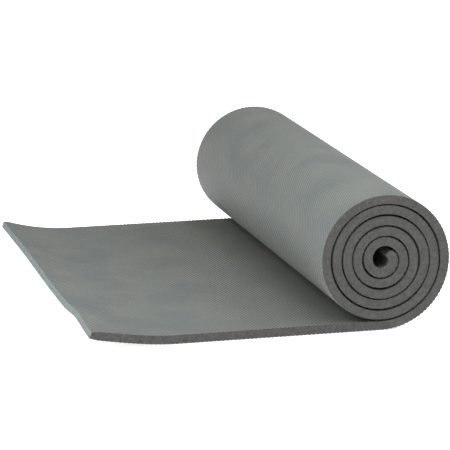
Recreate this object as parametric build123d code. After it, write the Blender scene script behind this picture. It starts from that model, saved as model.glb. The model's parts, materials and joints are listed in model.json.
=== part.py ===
from build123d import *
import os
from math import acos, asin, atan2, cos, hypot, pi, radians, sin, sqrt, tan

# A closed-cell foam sleeping pad, partly rolled up: a stretch lies flat on the floor and
# the rest is wound into a roll at its right end. The real pad is one continuous sheet.
# Here it is cut across its width into narrow strips, hinged to each other in the foam's
# own middle layer, so that the sheet can unroll flat and can roll up completely.
#
# X runs along the pad (the free end at -X, the roll at +X), Y across its width, Z up.
# The floor is Z = 0, and the origin is under the middle of the strip that stays still.
# All sizes are in millimetres.

# --- driving dimensions -------------------------------------------------------------
PAD_WIDTH = 610.0
FOAM_THICKNESS = 12.7
LAYER_GAP = 0.55            # air between one turn of the roll and the next
ROLL_RADIUS = 82.4          # roll axis to the middle of the foam, where the roll starts
ROLL_TURNS = 5.4
FLAT_LENGTH = 364.0         # roll's start to the free end, along the foam
CURL_LENGTH = 104.0         # last stretch before the free end, which curls up
CURL_RADIUS = 294.0

FLOOR_STRIP_LENGTH = 26.5   # the strip that stays still, under the roll
FLAT_STRIPS = 10
ROLL_STRIPS = 49
TOE_ANGLE = radians(14.0)   # how far round the roll the floor strip reaches
HINGE_CLEARANCE = 0.15      # from each strip's end face to the hinge line
WRAP_CLEARANCE = 0.3        # extra air under the flat stretch once it is wrapped

# --- values that follow from them ---------------------------------------------------
HALF = FOAM_THICKNESS / 2
TURN_PITCH = FOAM_THICKNESS + LAYER_GAP
PITCH_PER_RADIAN = TURN_PITCH / (2 * pi)
ROLL_START = FLOOR_STRIP_LENGTH / 2     # X where the sheet leaves the floor, below the axis
ROLL_AXIS_HEIGHT = HALF + ROLL_RADIUS
ROLL_ANGLE = 2 * pi * ROLL_TURNS
FLAT_STRIP_LENGTH = (FLAT_LENGTH - FLOOR_STRIP_LENGTH) / FLAT_STRIPS


def roll_radius(angle):
    """Roll axis to the middle of the foam, after the sheet has turned by angle."""
    return ROLL_RADIUS - PITCH_PER_RADIAN * angle


def roll_point(radius, angle):
    """Point at a radius from the roll axis; angle 0 is straight down, then towards +X."""
    across = ROLL_START + radius * sin(angle)
    return (across, ROLL_AXIS_HEIGHT - radius * cos(angle))


def roll_cuts():
    """Angles at which the roll is cut into strips.

    Equal steps of radius to the power 1.5 give all the strips the same bow, which is how
    far their arc stands out from its chord.
    """
    first = roll_radius(TOE_ANGLE) ** 1.5
    last = roll_radius(ROLL_ANGLE) ** 1.5
    cuts = []
    for number in range(ROLL_STRIPS + 1):
        radius = (first - (first - last) * number / ROLL_STRIPS) ** (2 / 3)
        cuts.append((ROLL_RADIUS - radius) / PITCH_PER_RADIAN)
    return cuts


ROLL_CUTS = roll_cuts()


def half_span(number):
    """Half the angle that a strip of the roll covers, seen from the roll axis."""
    return (ROLL_CUTS[number] - ROLL_CUTS[number - 1]) / 2


def unroll_hinge_radius(number):
    """Roll axis to the hinge line before a strip. The foam keeps its length there."""
    bend = half_span(number)
    if number > 1:
        bend = (bend + half_span(number - 1)) / 2
    return roll_radius(ROLL_CUTS[number - 1]) * bend / sin(bend)


def unroll_hinge(number):
    """Hinge line before a strip of the roll, as its place in X and Z."""
    return roll_point(unroll_hinge_radius(number), ROLL_CUTS[number - 1])


def roll_chord(number):
    """Length and heading of the line from a strip's own hinge to its far end."""
    start = unroll_hinge(number)
    if number < ROLL_STRIPS:
        end = unroll_hinge(number + 1)
    else:
        end = roll_point(unroll_hinge_radius(number), ROLL_ANGLE)
    heading = atan2(end[1] - start[1], end[0] - start[0])
    middle = (ROLL_CUTS[number] + ROLL_CUTS[number - 1]) / 2
    turns = round((middle - heading) / (2 * pi))
    return hypot(end[0] - start[0], end[1] - start[1]), heading + 2 * pi * turns


def hinge_height(number):
    """Height of the hinge before a strip, once the pad is unrolled on the floor."""
    if number == 1:
        return unroll_hinge(number)[1]
    number = min(number, ROLL_STRIPS)
    start = unroll_hinge(number)
    heading = roll_chord(number)[1]
    across = start[0] - ROLL_START
    chord_from_axis = across * sin(heading) + (ROLL_AXIS_HEIGHT - start[1]) * cos(heading)
    return roll_radius(heading) + HALF - chord_from_axis


def unrolled_heading(number):
    """Heading that a strip of the roll has turned through when it lies unrolled."""
    if number == 0:
        return 0.0
    length, heading = roll_chord(number)
    return heading - asin((hinge_height(number + 1) - hinge_height(number)) / length)


def unroll_angle(number):
    """Turn of the hinge before a strip, from rolled up to fully flat."""
    return unrolled_heading(number) - unrolled_heading(number - 1)


# --- the flat stretch and its curled free end ---------------------------------------
def flat_point(distance, height):
    """Point on the flat stretch: distance from the roll's start, height from mid-foam."""
    curled = max(0.0, distance - (FLAT_LENGTH - CURL_LENGTH)) / CURL_RADIUS
    straight = min(distance, FLAT_LENGTH - CURL_LENGTH)
    reach = CURL_RADIUS - height
    across = ROLL_START - straight - reach * sin(curled)
    return (across, HALF + CURL_RADIUS - reach * cos(curled))


def flat_cut(number):
    """Distance from the roll's start to the far end of a flat strip."""
    return FLOOR_STRIP_LENGTH + number * FLAT_STRIP_LENGTH


def flat_hinge(number):
    """Hinge line before a flat strip, as its place in X and Z."""
    return flat_point(flat_cut(number - 1), 0.0)


def flat_heading(number):
    """Slope of the line from a flat strip's own hinge to its far end."""
    start = flat_point(flat_cut(number - 1), 0.0)
    end = flat_point(flat_cut(number), 0.0)
    return atan2(end[1] - start[1], start[0] - end[0])


def wrap_angles():
    """Turn of each flat hinge when the stretch is wrapped round the roll.

    The wrapped strips are the sides of a polygon round the roll, which grows outwards
    with the roll's own pitch. Each side touches the foam under it at one place.
    """
    angles = []
    turned = 0.0
    slope = 0.0
    radius = ROLL_RADIUS
    past_touch = FLOOR_STRIP_LENGTH
    for number in range(1, FLAT_STRIPS + 1):
        corner = hypot(radius, past_touch)
        opening = acos(radius / corner)
        radius = ROLL_RADIUS + WRAP_CLEARANCE + PITCH_PER_RADIAN * (turned + 2 * opening)
        turn = opening + acos(radius / corner)
        past_touch = FLAT_STRIP_LENGTH - sqrt(corner ** 2 - radius ** 2)
        angles.append(turn - flat_heading(number) + slope)
        slope = flat_heading(number)
        turned += turn
    return angles


WRAP_ANGLES = wrap_angles()


# --- solids -------------------------------------------------------------------------
def spread(profile):
    """Solid of full pad width from a closed outline in X and Z."""
    face = Plane.XZ * make_face(profile)
    return extrude(face, amount=PAD_WIDTH / 2, both=True)


def bevel_angle(radius, surface, turn):
    """Angle round the roll that a bevelled end face takes up beyond its hinge line."""
    return turn / 2 - asin(radius * sin(turn / 2) / surface)


def roll_end(number, side):
    """Corners of a strip's end at its cut: inner face, hinge line, outer face."""
    cut = ROLL_CUTS[number]
    radius = roll_radius(cut)
    if number == ROLL_STRIPS:
        return [(radius - HALF, cut), (radius, cut), (radius + HALF, cut)]
    hinge = unroll_hinge_radius(number + 1)
    inner = radius - HALF
    outer = radius + HALF
    clear = HINGE_CLEARANCE * side
    bevel = side * bevel_angle(hinge, outer, unroll_angle(number + 1))
    outer_angle = cut + clear / hinge + bevel
    return [
        (inner, cut + clear / inner),
        (hinge, cut + clear / hinge),
        (roll_radius(outer_angle) + HALF, outer_angle),
    ]


def roll_strip(number):
    """One strip of the roll: an arc of foam between two hinge lines."""
    start = [roll_point(*corner) for corner in roll_end(number - 1, 1)]
    end = [roll_point(*corner) for corner in roll_end(number, -1)]
    middle = (ROLL_CUTS[number - 1] + ROLL_CUTS[number]) / 2
    radius = roll_radius(middle)
    outline = [
        ThreePointArc(start[0], roll_point(radius - HALF, middle), end[0]),
        Polyline(end[0], end[1], end[2]),
        ThreePointArc(end[2], roll_point(radius + HALF, middle), start[2]),
        Polyline(start[2], start[1], start[0]),
    ]
    return spread(outline)


def flat_end(number, side):
    """Corners of a flat strip's end at its cut: top face, hinge line, underside."""
    distance = flat_cut(number)
    if number == FLAT_STRIPS:
        return [flat_point(distance, height) for height in (HALF, 0.0, -HALF)]
    clear = HINGE_CLEARANCE * side
    notch = side * HALF * tan(WRAP_ANGLES[number] / 2)
    return [
        flat_point(distance + clear + notch, HALF),
        flat_point(distance + clear, 0.0),
        flat_point(distance + clear, -HALF),
    ]


def flat_strip(number):
    """One strip of the flat stretch, notched on top where it will bend."""
    start = flat_end(number - 1, 1)
    end = flat_end(number, -1)
    middle = flat_cut(number) - FLAT_STRIP_LENGTH / 2
    bend_from = FLAT_LENGTH - CURL_LENGTH
    if flat_cut(number) <= bend_from:
        return spread([Polyline(*start, *reversed(end), close=True)])
    outline = [
        ThreePointArc(start[0], flat_point(middle, HALF), end[0]),
        Polyline(end[0], end[1], end[2]),
        ThreePointArc(end[2], flat_point(middle, -HALF), start[2]),
        Polyline(start[2], start[1], start[0]),
    ]
    return spread(outline)


def floor_strip():
    """The strip that stays still: flat on the floor, with a toe that starts up the roll."""
    left = flat_end(0, -1)
    toe = [roll_point(*corner) for corner in roll_end(0, -1)]
    middle = TOE_ANGLE / 2
    outline = [
        Polyline(toe[0], toe[1], toe[2]),
        ThreePointArc(toe[2], roll_point(ROLL_RADIUS + HALF, middle), (ROLL_START, 0.0)),
        Polyline((ROLL_START, 0.0), left[2], left[1], left[0], (ROLL_START, FOAM_THICKNESS)),
        ThreePointArc((ROLL_START, FOAM_THICKNESS), roll_point(ROLL_RADIUS - HALF, middle), toe[0]),
    ]
    return spread(outline)


def pad():
    """Every strip of the pad by its name, from the floor strip outwards and inwards."""
    strips = {"floor_strip": floor_strip()}
    for number in range(1, FLAT_STRIPS + 1):
        strips[f"flat_strip_{number}"] = flat_strip(number)
    for number in range(1, ROLL_STRIPS + 1):
        strips[f"roll_strip_{number:02d}"] = roll_strip(number)
    return strips


os.makedirs("parts", exist_ok=True)
for name, solid in pad().items():
    export_step(solid, f"parts/{name}.step")
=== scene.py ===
import json
import math

import bpy
import numpy as np
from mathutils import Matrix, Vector

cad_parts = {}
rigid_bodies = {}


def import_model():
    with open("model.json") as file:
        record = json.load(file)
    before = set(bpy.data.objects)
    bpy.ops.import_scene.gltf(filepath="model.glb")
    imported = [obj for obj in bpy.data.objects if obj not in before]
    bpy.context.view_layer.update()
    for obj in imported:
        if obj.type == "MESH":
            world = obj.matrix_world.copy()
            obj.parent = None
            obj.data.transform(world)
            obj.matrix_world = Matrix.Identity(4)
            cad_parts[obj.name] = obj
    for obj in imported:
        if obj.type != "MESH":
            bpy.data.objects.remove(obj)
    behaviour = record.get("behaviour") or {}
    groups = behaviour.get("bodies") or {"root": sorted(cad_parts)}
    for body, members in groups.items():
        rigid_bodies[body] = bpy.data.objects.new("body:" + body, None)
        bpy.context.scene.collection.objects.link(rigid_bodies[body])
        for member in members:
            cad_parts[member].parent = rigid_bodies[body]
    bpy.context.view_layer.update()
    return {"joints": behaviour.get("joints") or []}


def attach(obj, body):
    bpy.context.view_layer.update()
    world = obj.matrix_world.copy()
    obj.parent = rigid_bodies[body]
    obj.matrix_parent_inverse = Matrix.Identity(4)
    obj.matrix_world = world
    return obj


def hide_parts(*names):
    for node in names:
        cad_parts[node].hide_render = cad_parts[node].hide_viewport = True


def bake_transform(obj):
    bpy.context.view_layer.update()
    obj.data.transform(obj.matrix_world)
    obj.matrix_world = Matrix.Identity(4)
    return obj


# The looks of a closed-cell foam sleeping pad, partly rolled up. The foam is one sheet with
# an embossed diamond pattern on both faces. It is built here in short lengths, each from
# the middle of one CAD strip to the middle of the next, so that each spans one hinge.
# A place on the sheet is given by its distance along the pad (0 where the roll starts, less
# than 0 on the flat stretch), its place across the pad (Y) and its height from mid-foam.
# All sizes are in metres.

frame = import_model()

# --- the pad's own sizes, the same as in the CAD --------------------------------------
PAD_WIDTH = 0.610
FOAM_THICKNESS = 0.0127
HALF = FOAM_THICKNESS / 2
TURN_PITCH = FOAM_THICKNESS + 0.00055
PITCH_PER_RADIAN = TURN_PITCH / (2 * math.pi)
ROLL_RADIUS = 0.0824
ROLL_TURNS = 5.4
ROLL_START = 0.01325
AXIS_HEIGHT = HALF + ROLL_RADIUS
FLAT_LENGTH = 0.364
CURL_LENGTH = 0.104
CURL_RADIUS = 0.294
FLAT_STRIPS = 10
ROLL_STRIPS = 49

# --- the embossing and the cut edges --------------------------------------------------
DIAMOND_LENGTH = 0.0052     # one diamond, along the pad
DIAMONDS_ACROSS = 86        # over the pad's width
STEPS_PER_DIAMOND = 4       # mesh columns and rows in each diamond
EMBOSS_DEPTH = 0.0011       # valley to peak, where it is crisp
SKIN_INSET = 0.00035        # from the CAD's faces down to the peaks
EDGE_ROUND = 0.0004         # how far the cut edges are rounded
WALL_ROWS = 4               # rows of faces on each side cut
NOSE = 0.0050               # length over which the inner end is rounded
NOSE_COLUMNS = 9            # mesh columns on it
NOSE_TIP = 0.02             # square of the share of the thickness left at its tip
HINGE_BEND = 0.009          # how far from its hinge a length of the flat stretch would bend, though nothing bends it

# --- where use has worn the embossing down: distances along the pad -------------------
WEAR = 0.6                  # share of the embossing that is lost there
FLAT_WEAR_START = 0.09      # on the flat stretch, from here outwards
FLAT_WEAR_RISE = 0.16
ROLL_WEAR_START = 0.05      # on the roll's outer turn, from here
ROLL_WEAR_RISE = 0.1
ROLL_WEAR_END = 0.43        # to here
ROLL_WEAR_FALL = 0.12

# --- how the real pad is a little uneven ----------------------------------------------
LOOSENESS = 0.0004          # how far the turns of the roll stray in and out
SWAYS = ((1.0, 1.37, 0.6), (0.7, 2.61, 2.1))    # each wave's share, rate and start
PRESSED_LENGTH = 0.012      # the knife pressed the free end thinner over this length
END_THINNING = 0.22         # share of the thickness lost at the free end
END_SKEW = 0.014            # the free end isn't square: its length changes across the pad
# Below, places across the pad are shares of its width, less than 0 on the near half.
SKEW_PIVOT = -0.07          # where the skewed end has its nominal length
BULGE = 0.0052              # how far the free end bulges out beside its near corner
BULGE_START, BULGE_RISE = -0.37, 0.09
BULGE_END, BULGE_FALL = 0.35, 0.6
BULGE_DROOP = 0.12          # share of its curl that the bulge has lost
DROOP = 0.40                # share of its curl that the near corner has lost
DROOP_START, DROOP_RISE = 0.28, 0.22

STRIPS = (
    [f"flat_strip_{n}" for n in range(FLAT_STRIPS, 0, -1)]
    + ["floor_strip"]
    + [f"roll_strip_{n:02d}" for n in range(1, ROLL_STRIPS + 1)]
)


def roll_length(angle):
    """Length of mid-foam from the roll's start, after it has turned by angle."""
    return ROLL_RADIUS * angle - PITCH_PER_RADIAN * angle**2 / 2


def roll_angle(distance):
    """The inverse of roll_length."""
    root = np.sqrt(ROLL_RADIUS**2 - 2 * PITCH_PER_RADIAN * distance)
    return (ROLL_RADIUS - root) / PITCH_PER_RADIAN


ROLL_LENGTH = roll_length(2 * math.pi * ROLL_TURNS)


def smooth(value):
    """0 below 0 and 1 above 1, with a smooth change in between."""
    value = np.clip(value, 0, 1)
    return value * value * (3 - 2 * value)


def stray(distance):
    """How far the roll's mid-foam strays from an even spiral. It is nil where the roll starts."""
    angle = roll_angle(np.maximum(distance, 0))
    waves = sum(share * np.sin(rate * angle + start) for share, rate, start in SWAYS)
    total = sum(share for share, _, _ in SWAYS)
    return LOOSENESS * waves / total * smooth(angle / math.pi)


def place(distance, height, y=0.0):
    """X and Z of points of the sheet, from arrays of distance, height and place across."""
    distance, height, y = np.broadcast_arrays(distance, height, y)
    in_curl = np.clip((-distance - (FLAT_LENGTH - CURL_LENGTH)) / CURL_LENGTH, 0, 1)
    across = y / PAD_WIDTH
    bulge = smooth((across - BULGE_START) / BULGE_RISE)
    bulge = bulge * smooth((BULGE_END - across) / BULGE_FALL)
    longer = BULGE * bulge - END_SKEW * (across - SKEW_PIVOT)
    flat = -np.minimum(distance, 0) + longer * in_curl**2
    curled = np.maximum(0, flat - (FLAT_LENGTH - CURL_LENGTH)) / CURL_RADIUS
    straight = np.minimum(flat, FLAT_LENGTH - CURL_LENGTH)
    reach = CURL_RADIUS - height
    x_flat = ROLL_START - straight - reach * np.sin(curled)
    z_flat = HALF + CURL_RADIUS - reach * np.cos(curled)
    lift = CURL_RADIUS * (1 - np.cos(curled))
    droop = DROOP * smooth((-across - DROOP_START) / DROOP_RISE) + BULGE_DROOP * bulge
    z_flat = z_flat - lift * droop * in_curl
    angle = roll_angle(np.maximum(distance, 0))
    radius = ROLL_RADIUS - PITCH_PER_RADIAN * angle - height + stray(distance)
    x_roll = ROLL_START + radius * np.sin(angle)
    z_roll = AXIS_HEIGHT - radius * np.cos(angle)
    in_roll = distance >= 0
    return np.where(in_roll, x_roll, x_flat), np.where(in_roll, z_roll, z_flat)


def hinge_distances():
    """Where each hinge between two neighbouring strips lies, as a distance along the pad."""
    by_pair = {frozenset((j["parent"], j["child"])): j["pos_m"] for j in frame["joints"]}
    found = []
    last_angle = 0.0
    for a, b in zip(STRIPS, STRIPS[1:]):
        x, _, z = by_pair[frozenset((a, b))]
        if b.startswith("roll"):
            angle = math.atan2(x - ROLL_START, AXIS_HEIGHT - z)
            while angle < last_angle:
                angle += 2 * math.pi
            last_angle = angle
            found.append(roll_length(angle))
        elif x < ROLL_START - (FLAT_LENGTH - CURL_LENGTH):
            bend_x = ROLL_START - (FLAT_LENGTH - CURL_LENGTH)
            curled = math.atan2(bend_x - x, HALF + CURL_RADIUS - z)
            found.append(-(FLAT_LENGTH - CURL_LENGTH) - CURL_RADIUS * curled)
        else:
            found.append(x - ROLL_START)
    return found


HINGES = hinge_distances()
COLUMNS = round((FLAT_LENGTH + ROLL_LENGTH) / (DIAMOND_LENGTH / STEPS_PER_DIAMOND))
STEP = (FLAT_LENGTH + ROLL_LENGTH) / COLUMNS
DIAMOND = STEP * STEPS_PER_DIAMOND
ROWS = DIAMONDS_ACROSS * STEPS_PER_DIAMOND


def seams():
    """Columns at which the sheet is divided: its ends and the middle of each strip."""
    edges = [-FLAT_LENGTH] + HINGES + [ROLL_LENGTH]
    middles = [(a + b) / 2 for a, b in zip(edges, edges[1:])]
    return [0] + [round((m + FLAT_LENGTH) / STEP) for m in middles] + [COLUMNS]


def crispness(distance):
    """1 where the embossing is crisp and less where use has worn it down."""
    worn_flat = smooth((-distance - FLAT_WEAR_START) / FLAT_WEAR_RISE)
    worn_roll = smooth((distance - ROLL_WEAR_START) / ROLL_WEAR_RISE)
    worn_roll = worn_roll * smooth((ROLL_WEAR_END - distance) / ROLL_WEAR_FALL)
    return 1 - WEAR * np.maximum(worn_flat, worn_roll)


def emboss(distance, y):
    """Height of the diamond pattern, from -1 in the valleys to 1 on the peaks."""
    along = np.cos(2 * np.pi * (distance + FLAT_LENGTH) / DIAMOND)
    across = np.cos(2 * np.pi * (y / PAD_WIDTH + 0.5) * DIAMONDS_ACROSS)
    return along * across * crispness(distance)


def face_height(distance, y):
    """Height above mid-foam of the embossed skin, which thins towards the pad's two ends."""
    skin = HALF - SKIN_INSET - EMBOSS_DEPTH * (0.5 - 0.5 * emboss(distance, y))
    pressed = 1 - smooth((distance + FLAT_LENGTH) / PRESSED_LENGTH)
    skin = skin * (1 - END_THINNING * pressed)
    nose = np.clip((distance - (ROLL_LENGTH - NOSE)) / NOSE, 0, 1)
    return skin * np.sqrt(np.maximum(1 - nose**2, NOSE_TIP))


def ring(distance):
    """Y and height of the points round the sheet's outline, at one distance."""
    y_skin = np.linspace(-PAD_WIDTH / 2, PAD_WIDTH / 2, ROWS + 1)
    skin = face_height(distance, y_skin)
    y_in = y_skin.copy()
    y_in[0] += EDGE_ROUND
    y_in[-1] -= EDGE_ROUND
    share = np.linspace(1, -1, WALL_ROWS + 1)
    wall_high = (skin[-1] - EDGE_ROUND) * share
    y = np.concatenate([y_in, np.full(WALL_ROWS + 1, PAD_WIDTH / 2), y_in[::-1],
                        np.full(WALL_ROWS + 1, -PAD_WIDTH / 2)])
    height = np.concatenate([skin, wall_high, -skin[::-1], -wall_high])
    return y, height


# The parts of that outline, in its order, and how many points it has.
TOP = slice(0, ROWS + 1)
RIGHT = slice(ROWS + 1, ROWS + 2 + WALL_ROWS)
UNDER = slice(ROWS + 2 + WALL_ROWS, 2 * ROWS + 3 + WALL_ROWS)
LEFT = slice(2 * ROWS + 3 + WALL_ROWS, 2 * ROWS + 4 + 2 * WALL_ROWS)
RING = 2 * ROWS + 4 + 2 * WALL_ROWS


def cap_faces(base, turned):
    """Faces that close one end of a length, from its ring's first vertex number."""
    top = base + np.arange(ROWS + 1)
    under = base + np.arange(UNDER.stop - 1, UNDER.start - 1, -1)
    quads = np.stack([top[:-1], top[1:], under[1:], under[:-1]], 1)
    right = base + np.arange(RIGHT.start, RIGHT.stop)
    left = base + np.arange(LEFT.start, LEFT.stop)
    ends = [[top[-1], *right, under[-1]], [under[0], *left, top[0]]]
    faces = [list(q) for q in quads] + ends
    return [f[::-1] for f in faces] if turned else faces


# --- materials ------------------------------------------------------------------------
class Nodes:
    """Short calls for building a material's node tree."""

    def __init__(self, name):
        self.material = bpy.data.materials.new(name)
        self.material.use_nodes = True
        self.tree = self.material.node_tree
        self.shader = self.tree.nodes["Principled BSDF"]

    def add(self, kind, **values):
        node = self.tree.nodes.new(kind)
        for key, value in values.items():
            if hasattr(node, key):
                setattr(node, key, value)
            else:
                node.inputs[key.replace("_", " ")].default_value = value
        return node

    def link(self, output, socket):
        self.tree.links.new(output, socket)

    def attribute(self, name):
        return self.add("ShaderNodeAttribute", attribute_name=name)

    def noise(self, vector, scale, detail, roughness=0.55):
        node = self.add("ShaderNodeTexNoise", Scale=scale, Detail=detail, Roughness=roughness)
        self.link(vector, node.inputs["Vector"])
        return node.outputs["Fac"]

    def along(self, vector):
        node = self.add("ShaderNodeSeparateXYZ")
        self.link(vector, node.inputs["Vector"])
        return node.outputs["X"]

    def span(self, value, low, high, to_low, to_high):
        node = self.add("ShaderNodeMapRange", From_Min=low, From_Max=high,
                        To_Min=to_low, To_Max=to_high)
        self.link(value, node.inputs["Value"])
        return node.outputs["Result"]

    def mix(self, factor, a, b, blend="MIX"):
        node = self.add("ShaderNodeMix", data_type="RGBA", blend_type=blend)
        self.link(factor, node.inputs[0])
        for socket, value in ((node.inputs[6], a), (node.inputs[7], b)):
            if isinstance(value, tuple):
                socket.default_value = (*value, 1)
            else:
                self.link(value, socket)
        return node.outputs[2]

    def bump(self, height, strength, distance, normal=None):
        node = self.add("ShaderNodeBump", Strength=strength, Distance=distance)
        self.link(height, node.inputs["Height"])
        if normal is not None:
            self.link(normal, node.inputs["Normal"])
        return node.outputs["Normal"]


SKIN_COLOUR, SKIN_LIGHT = (0.155, 0.175, 0.173), (0.183, 0.194, 0.181)
SKIN_STREAK = (0.167, 0.186, 0.188)
# Painted light on the embossing: the peaks are lightened, partly as worn tops and partly as a
# painted highlight, and the valleys are darkened as painted shade.
PEAK_WEAR_AND_HIGHLIGHT_TINT = (1.45, 1.45, 1.44)
VALLEY_SHADE_TINT = (0.14, 0.13, 0.12)
SHADE_WARMTH_TINT = (1.0, 0.955, 0.90)      # painted shade: the flat stretch is tinted warmer where the roll shades it, and the roll itself isn't
SHADE_WARMTH_UNDONE = (1.0, 1.047, 1.11)    # and the roll itself isn't
SHADE_WARMTH_RISE = (-0.24, -0.04)          # distances along the pad
SHADE_WARMTH_FALL = (-0.01, 0.03)
SPECKLE_TINT = (0.72, 0.73, 0.74)
GRAIN_TINT = (0.75, 0.75, 0.75)
CUT_DRIFT_TINT = (0.8, 0.8, 0.8)
CELL_TINT = (0.62, 0.62, 0.62)
# One cut foam in two copies: a darker copy on the side cuts is painted shade, and a paler copy on
# the free end's cut is painted light.
SIDE_CUT_SHADED_COLOUR, SIDE_CUT_SHADED_LIGHT = (0.0505, 0.0505, 0.049), (0.0935, 0.093, 0.090)
END_CUT_LIT_COLOUR, END_CUT_LIT_LIGHT = (0.123, 0.145, 0.147), (0.21, 0.247, 0.25)


def skin_material():
    """The embossed skin: grey-green, with painted shade in the valleys of the embossing, peaks
    lighter partly from wear and partly as a painted highlight, a warmer painted shade tone on the
    flat stretch by the roll, and a fine grain.
    """
    n = Nodes("foam_skin")
    place_on_sheet = n.attribute("sheet").outputs["Vector"]
    relief = n.attribute("relief").outputs["Fac"]
    mottle = n.noise(place_on_sheet, 14.0, 3.0)
    streak = n.noise(place_on_sheet, 60.0, 3.0)
    speckle = n.noise(place_on_sheet, 300.0, 3.0, 0.7)
    grain = n.noise(place_on_sheet, 1400.0, 2.0)
    base = n.mix(n.span(mottle, 0.38, 0.62, 0, 1), SKIN_COLOUR, SKIN_LIGHT)
    base = n.mix(n.span(streak, 0.35, 0.65, 0, 0.4), base, SKIN_STREAK)
    along = n.along(place_on_sheet)
    # painted shade: a warmer tone on the flat stretch where the roll shades it, undone on the
    # roll
    base = n.mix(n.span(along, *SHADE_WARMTH_RISE, 0.0, 1.0), base, SHADE_WARMTH_TINT, "MULTIPLY")
    base = n.mix(n.span(along, *SHADE_WARMTH_FALL, 0.0, 1.0), base, SHADE_WARMTH_UNDONE, "MULTIPLY")
    base = n.mix(n.span(speckle, 0.35, 0.65, 0.0, 0.5), base, SPECKLE_TINT, "MULTIPLY")
    # painted highlight and wear on the peaks, and painted shade in the valleys, both from the
    # relief
    peaks = n.mix(n.span(relief, 0.0, 0.6, 0.0, 1.0), base, PEAK_WEAR_AND_HIGHLIGHT_TINT, "MULTIPLY")
    valleys = n.mix(n.span(relief, -0.6, 0.1, 1.0, 0.0), peaks, VALLEY_SHADE_TINT, "MULTIPLY")
    colour = n.mix(n.span(grain, 0.3, 0.7, 0.0, 0.25), valleys, GRAIN_TINT, "MULTIPLY")
    n.link(colour, n.shader.inputs["Base Color"])
    n.link(n.span(mottle, 0.3, 0.7, 0.52, 0.66), n.shader.inputs["Roughness"])
    n.link(n.bump(grain, 0.35, 0.0003), n.shader.inputs["Normal"])
    n.shader.inputs["Specular IOR Level"].default_value = 0.4
    return n.material


def cut_material(name, colour, light):
    """A cut face of the foam: fine closed cells, and tone that drifts along the cut."""
    n = Nodes(name)
    place_on_sheet = n.attribute("sheet").outputs["Vector"]
    cells = n.add("ShaderNodeTexVoronoi", Scale=900.0)
    n.link(place_on_sheet, cells.inputs["Vector"])
    coarse = n.noise(place_on_sheet, 260.0, 4.0, 0.6)
    drift = n.noise(place_on_sheet, 30.0, 2.0)
    base = n.mix(n.span(coarse, 0.3, 0.7, 0, 1), colour, light)
    base = n.mix(n.span(drift, 0.35, 0.65, 0.0, 0.3), base, CUT_DRIFT_TINT, "MULTIPLY")
    base = n.mix(n.span(cells.outputs["Distance"], 0.0, 0.6, 0.35, 0.0), base,
                 CELL_TINT, "MULTIPLY")
    n.link(base, n.shader.inputs["Base Color"])
    n.link(n.span(coarse, 0.3, 0.7, 0.78, 0.9), n.shader.inputs["Roughness"])
    rough = n.bump(coarse, 0.4, 0.0005)
    n.link(n.bump(cells.outputs["Distance"], 0.3, 0.0002, rough), n.shader.inputs["Normal"])
    n.shader.inputs["Specular IOR Level"].default_value = 0.25
    return n.material


SKIN = skin_material()
# the side cuts' darker copy is painted shade, and the free end cut's paler copy is painted light
SIDE_CUT = cut_material("foam_side_cut_painted_shade", SIDE_CUT_SHADED_COLOUR, SIDE_CUT_SHADED_LIGHT)
END_CUT = cut_material("foam_end_cut_painted_light", END_CUT_LIT_COLOUR, END_CUT_LIT_LIGHT)
MATERIALS = (SKIN, SIDE_CUT, END_CUT)
SKIN_SLOT, SIDE_SLOT, END_SLOT = range(3)


# --- the sheet, length by length ---------------------------------------------------------
def length_columns(first, last):
    """Distances of a length's columns, which stand closer together at the pad's two ends."""
    columns = np.arange(first, last + 1) * STEP - FLAT_LENGTH
    if first == 0:
        columns = np.insert(columns, 1, columns[0] + EDGE_ROUND)
    if last == COLUMNS:
        fine = ROLL_LENGTH - NOSE * (1 - np.sin(np.linspace(0.0, np.pi / 2, NOSE_COLUMNS)))
        columns = np.concatenate([columns[columns < ROLL_LENGTH - NOSE], fine])
    return columns


def skin_points(distance, y, side):
    """Points on the embossed skin: side 1 is the top and inner face, -1 the other one."""
    x, z = place(distance, side * face_height(distance, y), y)
    return np.stack(np.broadcast_arrays(x, y, z), -1)


def skin_normals(distance, y, side):
    """Outward directions on the embossed skin, from points a little way to each side."""
    near = 0.00002
    along = skin_points(distance + near, y, side) - skin_points(distance - near, y, side)
    across = skin_points(distance, y + near, side) - skin_points(distance, y - near, side)
    normals = np.cross(along, across) * side
    return normals / np.linalg.norm(normals, axis=-1, keepdims=True)


def outline_normals(columns):
    """Outward directions of every point of the sheet's outline, at each column."""
    distance = columns[:, None]
    y = ring(columns[0])[0]
    normals = np.empty((len(columns), RING, 3))
    normals[:, TOP] = skin_normals(distance, y[TOP][None, :], 1)
    normals[:, UNDER] = skin_normals(distance, y[UNDER][None, :], -1)
    normals[:, RIGHT] = (0, 1, 0)
    normals[:, LEFT] = (0, -1, 0)
    return normals


def loop_normals(grid, normals, quads, caps):
    """A normal for every face corner: smooth on the sheet, square to it on the two caps."""
    at_quads = normals.reshape(-1, 3)[quads.ravel()]
    half = len(caps) // 2
    found = [at_quads]
    for faces, step in ((caps[:half], grid[0] - grid[1]), (caps[half:], grid[-1] - grid[-2])):
        outwards = step.mean(0)
        outwards = outwards / np.linalg.norm(outwards)
        found.append(np.tile(outwards, (sum(len(f) for f in faces), 1)))
    return np.concatenate(found)


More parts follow.
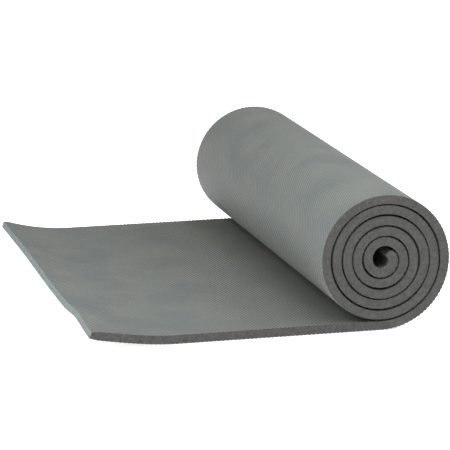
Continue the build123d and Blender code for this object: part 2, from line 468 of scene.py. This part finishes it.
def build_length(name, first, last):
    """One length of the sheet between two columns, as a closed mesh."""
    columns = length_columns(first, last)
    points, sheet, relief = [], [], []
    for distance in columns:
        y, height = ring(distance)
        if distance <= -FLAT_LENGTH:
            height = height * (1 - EDGE_ROUND / HALF)
        x, z = place(distance, height, y)
        points.append(np.stack([x, y, z], 1))
        sheet.append(np.stack([np.full(RING, distance), y, height], 1))
        relief.append(emboss(distance, y))
    grid = np.array(points)
    normals = outline_normals(columns)
    points, sheet, relief = (np.concatenate(v) for v in (points, sheet, relief))
    count = len(columns)
    here = np.arange(RING)
    there = np.roll(here, -1)
    base = (np.arange(count - 1) * RING)[:, None]
    quads = np.stack([base + here, base + RING + here, base + RING + there, base + there], 2)
    quads = quads.reshape(-1, 4)
    around = np.full(RING, SKIN_SLOT)
    # the side walls take the darker, painted-shade copy of the cut colour
    around[ROWS:UNDER.start] = SIDE_SLOT
    around[UNDER.stop - 1:] = SIDE_SLOT
    caps = cap_faces(0, False) + cap_faces((count - 1) * RING, True)
    half = len(caps) // 2
    # the free end's cap takes the paler, painted-light copy of the cut colour
    cap_slots = [END_SLOT if first == 0 else SIDE_SLOT] * half + [SIDE_SLOT] * half
    slots = np.append(np.tile(around, count - 1), cap_slots)
    mesh = bpy.data.meshes.new(name)
    mesh.vertices.add(len(points))
    mesh.vertices.foreach_set("co", points.astype(np.float32).ravel())
    loops = np.concatenate([quads.ravel(), np.concatenate([np.array(f) for f in caps])])
    sizes = np.concatenate([np.full(len(quads), 4), [len(f) for f in caps]])
    mesh.loops.add(len(loops))
    mesh.loops.foreach_set("vertex_index", loops.astype(np.int32))
    mesh.polygons.add(len(sizes))
    starts = np.concatenate([[0], np.cumsum(sizes)[:-1]])
    mesh.polygons.foreach_set("loop_start", starts.astype(np.int32))
    mesh.polygons.foreach_set("material_index", slots.astype(np.int32))
    mesh.update(calc_edges=True)
    mesh.normals_split_custom_set(loop_normals(grid, normals, quads, caps))
    for key, kind, values in (("sheet", "FLOAT_VECTOR", sheet), ("relief", "FLOAT", relief)):
        layer = mesh.attributes.new(key, kind, "POINT")
        field = "vector" if kind == "FLOAT_VECTOR" else "value"
        layer.data.foreach_set(field, values.astype(np.float32).ravel())
    for material in MATERIALS:
        mesh.materials.append(material)
    piece = bpy.data.objects.new(name, mesh)
    bpy.context.scene.collection.objects.link(piece)
    return piece


def blend_over_hinge(piece, a, first, last):
    """Bakes a length's placing into its mesh. It doesn't bend the length over its hinge.

    It works out how far the ends could stay rigid, and for the flat stretch how close to the
    hinge a length could bend, but uses none of that.
    """
    ends = np.array([first, last]) * STEP - FLAT_LENGTH
    x, z = place(ends, np.zeros(2))
    start, end = Vector((x[0], 0, z[0])), Vector((x[1], 0, z[1]))
    chord = (end - start).normalized()
    y, height = ring(ends[0])
    seam = [place(at, height, y) for at in ends]
    lead = max((seam[0][0] - start.x) * chord.x + (seam[0][1] - start.z) * chord.z)
    trail = max((end.x - seam[1][0]) * chord.x + (end.z - seam[1][1]) * chord.z)
    if a.startswith("flat"):
        hinge = place(np.array([HINGES[STRIPS.index(a)]]), np.zeros(1))
        middle = Vector((hinge[0][0], 0, hinge[1][0]))
        lead = max(lead, (middle - start).dot(chord) - HINGE_BEND)
        trail = max(trail, (end - middle).dot(chord) - HINGE_BEND)
    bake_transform(piece)


cuts = seams()
for number in range(len(cuts) - 1):
    first, last = cuts[number], cuts[number + 1]
    if number == 0:
        piece = build_length("foam_free_end", first, last)
        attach(piece, STRIPS[0])
        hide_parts(STRIPS[0])
    elif number == len(cuts) - 2:
        piece = build_length("foam_inner_end", first, last)
        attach(piece, STRIPS[-1])
        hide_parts(STRIPS[-1])
    else:
        a, b = STRIPS[number - 1], STRIPS[number]
        piece = build_length(f"foam_length_{number:02d}", first, last)
        blend_over_hinge(piece, a, first, last)
        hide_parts(a, b)


# --- floor, light and camera --------------------------------------------------------------
FLOOR_REACH = 60.0          # half the floor's width
FLOOR_DROP = 0.0002         # keeps it just clear of the foam's underside
FLOOR_GLOW = 0.75           # keeps it near white in every view
PAD_MIDDLE = (-0.1, 0, 0.05)
ROLL_NEAR_TOP = (-0.05, -0.1, 0.1)
COOL = (0.99, 1.0, 1.01)
COOLER = (0.985, 1.0, 1.0)
# Each lamp's name, place, aim, width, power and colour.
LAMPS = (
    ("right", (1.8, 0.3, 1.5), PAD_MIDDLE, 1.6, 39, COOL),
    ("over", (0.6, -0.6, 1.8), PAD_MIDDLE, 1.4, 13, COOL),
    ("over_near", (-0.1, -0.6, 1.15), ROLL_NEAR_TOP, 1.0, 9.5, COOL),
    ("upper_left", (-1.55, -0.7, 1.65), PAD_MIDDLE, 1.2, 28, COOLER),
    ("left", (-3.0, -0.6, 0.7), PAD_MIDDLE, 1.4, 33, COOLER),
)
AMBIENT_STRENGTH = 0.125
AMBIENT_TINT = (1, 0.82, 0.67, 1)
WHITE = (1, 1, 1, 1)
CAMERA_AZIMUTH = math.radians(-15.05)
CAMERA_ELEVATION = math.radians(12.72)
CAMERA_TARGET = (-0.1055, 0, 0.0733)
CAMERA_DISTANCE = 4.125
CAMERA_LENS = 253.0


def stage_floor():
    """A plain pale floor that runs out of sight."""
    mesh = bpy.data.meshes.new("floor")
    size = FLOOR_REACH
    mesh.from_pydata([(-size, -size, 0), (size, -size, 0), (size, size, 0), (-size, size, 0)],
                     [], [(0, 1, 2, 3)])
    n = Nodes("floor")
    n.shader.inputs["Base Color"].default_value = (0.9, 0.9, 0.9, 1)
    n.shader.inputs["Roughness"].default_value = 0.9
    n.shader.inputs["Specular IOR Level"].default_value = 0.0
    n.shader.inputs["Emission Color"].default_value = WHITE
    n.shader.inputs["Emission Strength"].default_value = FLOOR_GLOW
    mesh.materials.append(n.material)
    floor = bpy.data.objects.new("floor", mesh)
    floor.location.z = -FLOOR_DROP
    bpy.context.scene.collection.objects.link(floor)


def area_light(name, place_at, aim, size, power, colour):
    """A round soft lamp that points at a place."""
    data = bpy.data.lights.new(name, "AREA")
    data.shape = "DISK"
    data.size = size
    data.energy = power
    data.color = colour
    lamp = bpy.data.objects.new(name, data)
    lamp.location = place_at
    lamp.rotation_mode = "QUATERNION"
    lamp.rotation_quaternion = (Vector(place_at) - Vector(aim)).to_track_quat("Z", "Y")
    bpy.context.scene.collection.objects.link(lamp)


def world_light():
    """White all round for the camera, and a softer even light on the object."""
    world = bpy.data.worlds.new("studio")
    bpy.context.scene.world = world
    world.use_nodes = True
    tree = world.node_tree
    background = tree.nodes["Background"]
    path = tree.nodes.new("ShaderNodeLightPath")
    tint = tree.nodes.new("ShaderNodeMix")
    tint.data_type = "RGBA"
    tint.inputs[6].default_value = AMBIENT_TINT
    tint.inputs[7].default_value = WHITE
    tree.links.new(path.outputs["Is Camera Ray"], tint.inputs[0])
    tree.links.new(tint.outputs[2], background.inputs["Color"])
    strength = tree.nodes.new("ShaderNodeMapRange")
    strength.inputs["To Min"].default_value = AMBIENT_STRENGTH
    strength.inputs["To Max"].default_value = 1.0
    tree.links.new(path.outputs["Is Camera Ray"], strength.inputs["Value"])
    tree.links.new(strength.outputs["Result"], background.inputs["Strength"])


def make_camera():
    """A long lens, low and from the left, as such a pad is usually photographed."""
    level = math.cos(CAMERA_ELEVATION)
    back = Vector((math.sin(CAMERA_AZIMUTH) * level, -math.cos(CAMERA_AZIMUTH) * level,
                   math.sin(CAMERA_ELEVATION)))
    data = bpy.data.cameras.new("camera")
    data.lens = CAMERA_LENS
    data.sensor_width = 36.0
    data.clip_end = 200.0
    camera = bpy.data.objects.new("camera", data)
    camera.location = Vector(CAMERA_TARGET) + back * CAMERA_DISTANCE
    camera.rotation_mode = "QUATERNION"
    camera.rotation_quaternion = back.to_track_quat("Z", "Y")
    bpy.context.scene.collection.objects.link(camera)
    bpy.context.scene.camera = camera


stage_floor()
world_light()
for lamp in LAMPS:
    area_light(*lamp)
make_camera()
bpy.context.scene.view_settings.view_transform = "Standard"
